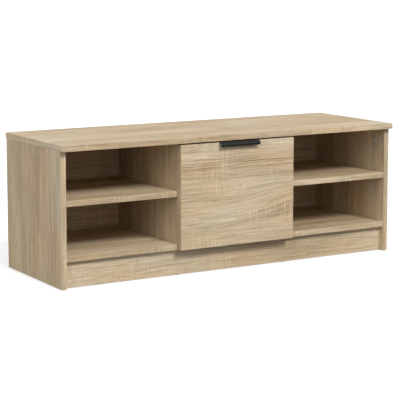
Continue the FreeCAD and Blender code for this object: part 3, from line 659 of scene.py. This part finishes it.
@dataclass(frozen=True)
class OakBand:
    """A thin printed strip on a board's edges, which may turn its grain on the end edges."""

    name: str
    grain: Grain
    seed: float
    end_grain: Grain | None = None
    rings: float = 0.25
    saw: float = 0.9
    rubbed: Colour = paint(226, 210, 184)
    rub_share: float = 0.4
    rub_width: float = 0.9 * MM
    band: float = 0.9 * MM
    relief: float = 0.08 * MM

    def material(self) -> Material:
        """Makes the strip's material from the box of its own node."""
        surface = Surface(f"oak_{self.name}")
        graph = surface.graph
        low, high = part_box(self.name)
        place = surface.turned(self.grain)
        if self.end_grain is not None:
            reach = high.x - self.band
            beyond = graph.sum("GREATER_THAN", graph.sum("ABSOLUTE", graph.split(surface.place)[0]), reach)
            place = graph.mix_place(beyond, place, surface.turned(self.end_grain))
        oak = OAK_PRINT.place(graph, Place=place, Seed=self.seed, Sway=0.012, Rings=self.rings, Saw=self.saw)
        rub = EDGE_RUB.place(graph, Place=surface.place, Low=low, High=high, Width=self.rub_width)["Mask"]
        colour = graph.tint(graph.sum("MULTIPLY", rub, self.rub_share), oak["Color"], self.rubbed)
        surface.shader.inputs["Specular IOR Level"].default_value = LAMINATE_SHEEN
        return surface.finish(colour, oak["Roughness"], oak["Height"], self.relief, 0.5)


@dataclass(frozen=True)
class PrintedHardboard:
    """Thin hardboard: a printed face towards the bays, and bare fibre behind and on its edges."""

    name: str
    seed: float
    face_lift: Colour = (1.18, 1.16, 1.2, 1.0)
    print_relief: float = 0.4
    relief: float = 0.15 * MM

    def material(self) -> Material:
        """Makes the panel's material from the box of its own node."""
        surface = Surface(self.name)
        graph = surface.graph
        low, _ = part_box(self.name)
        oak = OAK_PRINT.place(
            graph, Place=surface.turned(Grain.LENGTHWISE_UPRIGHT), Seed=self.seed, Rings=0.6, Saw=0.5
        )
        bare = FIBRE_FACE.place(graph, Place=surface.place)
        front = graph.sum("LESS_THAN", graph.split(surface.place)[1], low.y + SKIN)
        face = graph.tint(1.0, oak["Color"], self.face_lift, "MULTIPLY")
        colour = graph.tint(front, bare["Color"], face)
        rough = graph.mix(front, bare["Roughness"], oak["Roughness"])
        height = graph.mix(front, bare["Height"], graph.sum("MULTIPLY", oak["Height"], self.print_relief))
        return surface.finish(colour, rough, height, self.relief, 0.6)


@dataclass(frozen=True)
class Metal:
    """A plated, cast or drawn metal. A dull one is partly chalky rather than all mirror."""

    name: str
    colour: Colour
    gloss: float
    pits: float
    drawn: float
    mirror: float = 1.0
    relief: float = 0.04 * MM

    def material(self) -> Material:
        """Makes the metal's material."""
        surface = Surface(self.name)
        graph = surface.graph
        marks = PLATING.place(graph, Place=surface.place, Gloss=self.gloss, Pits=self.pits, Drawn=self.drawn)
        colour = graph.tint(1.0, self.colour, marks["Tone"], "MULTIPLY")
        surface.shader.inputs["Metallic"].default_value = self.mirror
        return surface.finish(colour, marks["Roughness"], marks["Height"], self.relief, 0.5)


@dataclass(frozen=True)
class Moulded:
    """A moulded plastic, a coating or another skin with an even fine grain."""

    name: str
    colour: Colour
    gloss: float
    grain: float = 1500.0
    depth: float = 0.05 * MM
    specular: float = 0.5
    worn: Colour | None = None
    worn_node: str = ""
    clear: float = 0.0

    def material(self) -> Material:
        """Makes the material, with rubbed arrises where a worn colour is given."""
        surface = Surface(self.name)
        graph = surface.graph
        marks = MOULDING.place(graph, Place=surface.place, Gloss=self.gloss, Grain=self.grain)
        colour = graph.tint(1.0, self.colour, marks["Tone"], "MULTIPLY")
        if self.worn is not None:
            low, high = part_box(self.worn_node)
            rub = EDGE_RUB.place(graph, Place=surface.place, Low=low, High=high)["Mask"]
            colour = graph.tint(graph.sum("MULTIPLY", rub, 0.5), colour, self.worn)
        surface.shader.inputs["Specular IOR Level"].default_value = self.specular
        surface.shader.inputs["Transmission Weight"].default_value = self.clear
        return surface.finish(colour, marks["Roughness"], marks["Height"], self.depth, 0.5)


@dataclass(frozen=True)
class SolidBeech:
    """Turned beech, with short rays and fine lines along the peg."""

    name: str

    def material(self) -> Material:
        """Makes the wood's material."""
        surface = Surface(self.name)
        graph = surface.graph
        line = graph.noise(surface.place, (1400.0, 1400.0, 60.0), 3.0, 0.6)
        ray = graph.rise(graph.noise(surface.place, (900.0, 900.0, 350.0), 1.0), 0.60, 0.68)
        colour = graph.ramp(line, [(0.3, paint(188, 147, 103)), (0.7, paint(221, 187, 143))])
        colour = graph.tint(graph.sum("MULTIPLY", ray, 0.5), colour, paint(160, 112, 72))
        rough = graph.sum("MULTIPLY_ADD", line, 0.2, 0.5)
        return surface.finish(colour, rough, line, 0.08 * MM, 0.5)


def dress(node: str, material: Material) -> None:
    """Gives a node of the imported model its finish.

    Args:
        node: The node's name.
        material: Its material.
    """
    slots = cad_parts[node].material_slots
    for slot in slots:
        slot.link = "OBJECT"
        slot.material = material
    LOG.info("%s is dressed in %s", node, material.name)


@dataclass
class Carcass:
    """The top, the uprights, the bottom, the plinth and what holds them together."""

    zinc: Metal = Metal("zinc_casting", (0.74, 0.75, 0.76, 1.0), 0.46, 0.7, 0.1, 0.45)
    plated: Metal = Metal("zinc_plated_steel", (0.70, 0.71, 0.70, 1.0), 0.36, 0.25, 0.4)
    nylon: Moulded = Moulded("tan_nylon", paint(196, 166, 124), 0.42)
    beech: SolidBeech = SolidBeech("turned_beech")

    def boards(self) -> list[OakBoard]:
        """The laminated boards, each with its own cut of the print."""
        flat = (Grain.LENGTHWISE_FLAT, Thickness.Z)
        upright = (Grain.UPWARDS, Thickness.X)
        across = (Grain.LENGTHWISE_UPRIGHT, Thickness.Y)
        return [
            OakBoard("top_panel", *flat, seed=2.1, sway=0.02, rings=0.4, saw=0.2),
            OakBoard("bottom_panel", *flat, seed=7.4),
            OakBoard("side_panel_left", *upright, seed=11.3, saw=0.25),
            OakBoard("side_panel_right", *upright, seed=15.9, saw=0.3),
            OakBoard("divider_left", *upright, seed=19.2, saw=0.3),
            OakBoard("divider_right", *upright, seed=23.6, saw=0.3),
            OakBoard("front_plinth", *across, seed=28.9, saw=0.6),
            OakBoard("rear_rail", *across, seed=31.8),
        ]

    def bands(self) -> list[OakBand]:
        """The edge strips of those boards."""
        long = Grain.LENGTHWISE_UPRIGHT
        return [
            OakBand("top_edge_band", long, 41.2, end_grain=Grain.FRONT_TO_BACK),
            OakBand("bottom_edge_band", long, 45.7),
            OakBand("side_edge_bands", Grain.UPWARDS, 49.1, saw=0.4),
            OakBand("divider_edge_bands", Grain.UPWARDS, 53.4, saw=0.4),
        ]

    def build(self) -> None:
        """Dresses every piece of the carcass."""
        for piece in [*self.boards(), *self.bands()]:
            dress(piece.name, piece.material())
        dress("cam_locks", self.zinc.material())
        plated = self.plated.material()
        for node in ("cam_bolts", "divider_screws", "corner_block_screws"):
            dress(node, plated)
        nylon = self.nylon.material()
        for node in ("corner_blocks", "floor_glides"):
            dress(node, nylon)
        dress("dowels", self.beech.material())


@dataclass
class Shelves:
    """The two loose shelves and the pegs they lie on."""

    pegs: Metal = Metal("nickel_peg", (0.72, 0.70, 0.67, 1.0), 0.32, 0.15, 0.3)

    def build(self) -> None:
        """Dresses the shelves, their front strips and their pegs."""
        for word, seed in (("left", 35.2), ("right", 38.6)):
            board = OakBoard(f"shelf_{word}", Grain.LENGTHWISE_FLAT, Thickness.Z, seed=seed)
            dress(board.name, board.material())
        band = OakBand("shelf_edge_bands", Grain.LENGTHWISE_UPRIGHT, 57.9)
        dress(band.name, band.material())
        dress("shelf_pins", self.pegs.material())


@dataclass
class Back:
    """The hardboard back and its nails."""

    panel: PrintedHardboard = PrintedHardboard("back_panel", 61.3)
    nails: Metal = Metal("bright_nail", (0.58, 0.57, 0.55, 1.0), 0.36, 0.4, 0.2)

    def build(self) -> None:
        """Dresses the back and its nails."""
        dress("back_panel", self.panel.material())
        dress("back_panel_nails", self.nails.material())


@dataclass
class Flap:
    """The door that drops forward, with its handle and its two rubber dots."""

    board: OakBoard = OakBoard(
        "door_panel", Grain.LENGTHWISE_UPRIGHT, Thickness.Y, seed=66.0, sway=0.02, rings=1.25, saw=0.8,
        heart=0.288, sweep=0.028, sweep_at=0.185,
    )
    band: OakBand = OakBand("door_edge_band", Grain.LENGTHWISE_UPRIGHT, 74.3, end_grain=Grain.UPWARDS)
    coating: Moulded = Moulded(
        "black_powder_coat", paint(12, 13, 15), 0.48, grain=2600.0, depth=0.03 * MM, specular=0.35,
        worn=paint(44, 45, 47), worn_node="door_handle",
    )
    screw: Metal = Metal("black_zinc_screw", (0.10, 0.10, 0.11, 1.0), 0.38, 0.3, 0.3)
    arris: float = 0.25 * MM
    dot_rings: int = 7
    dot_sides: int = 48

    def build(self) -> None:
        """Dresses the flap and builds its dots."""
        dress("door_panel", self.board.material())
        dress("door_edge_band", self.band.material())
        dress("door_handle", self.coating.material())
        dress("handle_screws", self.screw.material())
        self.ease("door_handle")
        self.dots()

    def ease(self, node: str) -> None:
        """Rounds the cut edges of a sheet part by a hair, so that they catch the light.

        Args:
            node: The part's name.
        """
        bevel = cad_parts[node].modifiers.new("eased_edge", "BEVEL")
        bevel.width = self.arris
        bevel.segments = 2
        bevel.limit_method = "ANGLE"
        bevel.angle_limit = math.radians(60)

    def dots(self) -> None:
        """Builds the domed clear dots that the flap closes on, in place of their plain discs."""
        low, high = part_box("door_bumpers")
        middle = (low.z + high.z) / 2
        radius = (high.z - low.z) / 2
        rise = high.y - low.y
        mesh = bpy.data.meshes.new("door_bumper_domes")
        shape = bmesh.new()
        for x in (low.x + radius, high.x - radius):
            self.dome(shape, Vector((x, low.y, middle)), radius, rise)
        shape.to_mesh(mesh)
        shape.free()
        mesh.shade_smooth()
        piece = bpy.data.objects.new("door_bumper_domes", mesh)
        bpy.context.scene.collection.objects.link(piece)
        clear = Moulded("clear_rubber", paint(226, 230, 228), 0.22, grain=900.0, clear=0.85)
        mesh.materials.append(clear.material())
        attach(piece, "door")
        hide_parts("door_bumpers")
        LOG.info("%s is built", piece.name)

    def dome(self, shape: bmesh.types.BMesh, foot: Vector, radius: float, rise: float) -> None:
        """Adds one closed dome that stands on the flap's inner face and swells towards +Y.

        Args:
            shape: The mesh to add to.
            foot: The middle of its flat foot.
            radius: Its radius at the foot.
            rise: Its height.
        """
        rings = []
        for step in range(self.dot_rings):
            angle = step / self.dot_rings * math.pi / 2
            size = radius * (0.55 + 0.45 * math.cos(angle)) if step else radius
            lift = rise * math.sin(angle)
            rings.append([
                shape.verts.new(foot + Vector((size * math.cos(turn), lift, size * math.sin(turn))))
                for turn in (side / self.dot_sides * math.tau for side in range(self.dot_sides))
            ])
        for inner, outer in zip(rings, rings[1:]):
            for side in range(self.dot_sides):
                after = (side + 1) % self.dot_sides
                shape.faces.new((inner[side], inner[after], outer[after], outer[side]))
        crown = shape.verts.new(foot + Vector((0, rise, 0)))
        heel = shape.verts.new(foot)
        for side in range(self.dot_sides):
            after = (side + 1) % self.dot_sides
            shape.faces.new((rings[-1][side], rings[-1][after], crown))
            shape.faces.new((rings[0][after], rings[0][side], heel))
        bmesh.ops.recalc_face_normals(shape, faces=shape.faces)


@dataclass
class Hardware:
    """The cup hinges, the sliding stay and the magnetic catch."""

    nickel: Metal = Metal("nickel_hinge_steel", (0.78, 0.775, 0.76, 1.0), 0.40, 0.2, 0.35, 0.8)
    steel: Metal = Metal("nickel_stay_steel", (0.74, 0.735, 0.72, 1.0), 0.40, 0.25, 0.6, 0.8)
    screw: Metal = Metal("nickel_screw", (0.74, 0.72, 0.69, 1.0), 0.33, 0.2, 0.2)
    plastic: Moulded = Moulded("grey_acetal", paint(150, 151, 150), 0.38)
    magnet: Moulded = Moulded("ferrite", paint(62, 61, 62), 0.55, grain=1900.0, specular=0.35)

    def build(self) -> None:
        """Dresses every fitting."""
        finishes = {
            self.nickel: (
                "hinge_cup_left", "hinge_cup_right", "hinge_arm_left", "hinge_arm_right",
                "hinge_plate_left", "hinge_plate_right", "hinge_pins",
            ),
            self.steel: ("stay_arm", "stay_base", "stay_bracket", "stay_rivet", "catch_strike_plate"),
            self.screw: (
                "hinge_cup_screws", "hinge_plate_screws", "hinge_setting_screws", "catch_case_screws",
                "catch_strike_screw", "stay_base_screws", "stay_bracket_screws",
            ),
            self.plastic: ("stay_guide", "stay_stop", "magnetic_catch_case"),
            self.magnet: ("catch_magnet",),
        }
        for finish, nodes in finishes.items():
            material = finish.material()
            for node in nodes:
                dress(node, material)


@dataclass(frozen=True)
class Lamp:
    """A distant soft lamp.

    Its height is its angle above the horizon, its side the angle to the right of the front, and
    its spread how wide it looks, all in degrees.
    """

    name: str
    height: float
    side: float
    spread: float
    strength: float

    def hang(self) -> None:
        """Adds the lamp to the scene."""
        lamp = bpy.data.lights.new(self.name, "SUN")
        lamp.energy = self.strength
        lamp.angle = math.radians(self.spread)
        holder = bpy.data.objects.new(self.name, lamp)
        holder.rotation_euler = (math.radians(90 - self.height), 0.0, math.radians(self.side))
        bpy.context.scene.collection.objects.link(holder)


@dataclass
class Studio:
    """A pale floor, soft light from the front and above, and the camera."""

    floor_half: float = 60.0
    floor_shade: float = 0.55
    floor_bounce: float = 0.2
    floor_glow: float = 0.55
    floor_rough: float = 0.9
    key: Lamp = Lamp("key", 41.0, 6.0, 16.0, 2.38)
    fill: Lamp = Lamp("fill", 20.0, -68.0, 50.0, 1.04)
    rear: Lamp = Lamp("rear", 15.0, -160.0, 60.0, 1.0)
    sky_low: float = 0.45
    sky_high: float = 0.51
    sky_seen: float = 1.0
    sky_rise: float = 0.8
    eye: Triple = (-2.040, -3.396, 0.809)
    turn: float = 30.77
    tip: float = 7.65
    lens: float = 131.76
    sensor: float = 36.0
    shift: float = -0.10

    def build(self) -> None:
        """Sets up the floor, the light and the camera."""
        bpy.context.scene.view_settings.view_transform = "Standard"
        self.floor()
        for lamp in (self.key, self.fill, self.rear):
            lamp.hang()
        self.sky()
        self.camera()

    def floor(self) -> None:
        """Lays a plain floor, which throws back less light than it shows."""
        mesh = bpy.data.meshes.new("floor")
        half = self.floor_half
        corners = [(-half, -half, 0.0), (half, -half, 0.0), (half, half, 0.0), (-half, half, 0.0)]
        mesh.from_pydata(corners, [], [(0, 1, 2, 3)])
        piece = bpy.data.objects.new("floor", mesh)
        bpy.context.scene.collection.objects.link(piece)
        surface = Surface("pale_floor")
        graph = surface.graph
        seen = graph.add("ShaderNodeLightPath", {}).outputs["Is Camera Ray"]
        shade = graph.tint(seen, grey(self.floor_bounce), grey(self.floor_shade))
        graph.feed(surface.shader.inputs["Base Color"], shade)
        graph.feed(surface.shader.inputs["Emission Strength"], graph.sum("MULTIPLY", seen, self.floor_glow))
        surface.shader.inputs["Emission Color"].default_value = grey(1.0)
        surface.shader.inputs["Roughness"].default_value = self.floor_rough
        surface.shader.inputs["Specular IOR Level"].default_value = 0.0
        mesh.materials.append(surface.material)

    def sky(self) -> None:
        """Fills the room with even light, a little stronger from above, behind a plain white view."""
        world = bpy.data.worlds.new("studio")
        world.use_nodes = True
        world.node_tree.nodes.clear()
        graph = Graph(world.node_tree)
        height = graph.split(graph.add("ShaderNodeTexCoord", {}).outputs["Generated"])[2]
        level = graph.rise(height, 0.0, self.sky_rise, (self.sky_low, self.sky_high))
        seen = graph.add("ShaderNodeLightPath", {}).outputs["Is Camera Ray"]
        level = graph.mix(seen, level, self.sky_seen)
        background = graph.add("ShaderNodeBackground", {"Color": grey(1.0), "Strength": level})
        graph.add("ShaderNodeOutputWorld", {"Surface": background.outputs[0]})
        bpy.context.scene.world = world

    def camera(self) -> None:
        """Stands the camera in front, to the left and a little above."""
        camera = bpy.data.cameras.new("camera")
        camera.lens = self.lens
        camera.sensor_width = self.sensor
        camera.shift_y = self.shift
        camera.clip_end = 4 * self.floor_half
        holder = bpy.data.objects.new("camera", camera)
        holder.location = self.eye
        holder.rotation_euler = (math.radians(90 - self.tip), 0.0, math.radians(-self.turn))
        bpy.context.scene.collection.objects.link(holder)
        bpy.context.scene.camera = holder


def main() -> None:
    """Dresses the stand, piece by piece, and sets up the studio."""
    for part in (Carcass(), Shelves(), Back(), Flap(), Hardware(), Studio()):
        LOG.info("building %s", type(part).__name__)
        part.build()


if __name__ == "__main__":
    logging.basicConfig(level=logging.INFO, format="%(name)s: %(message)s")
    main()
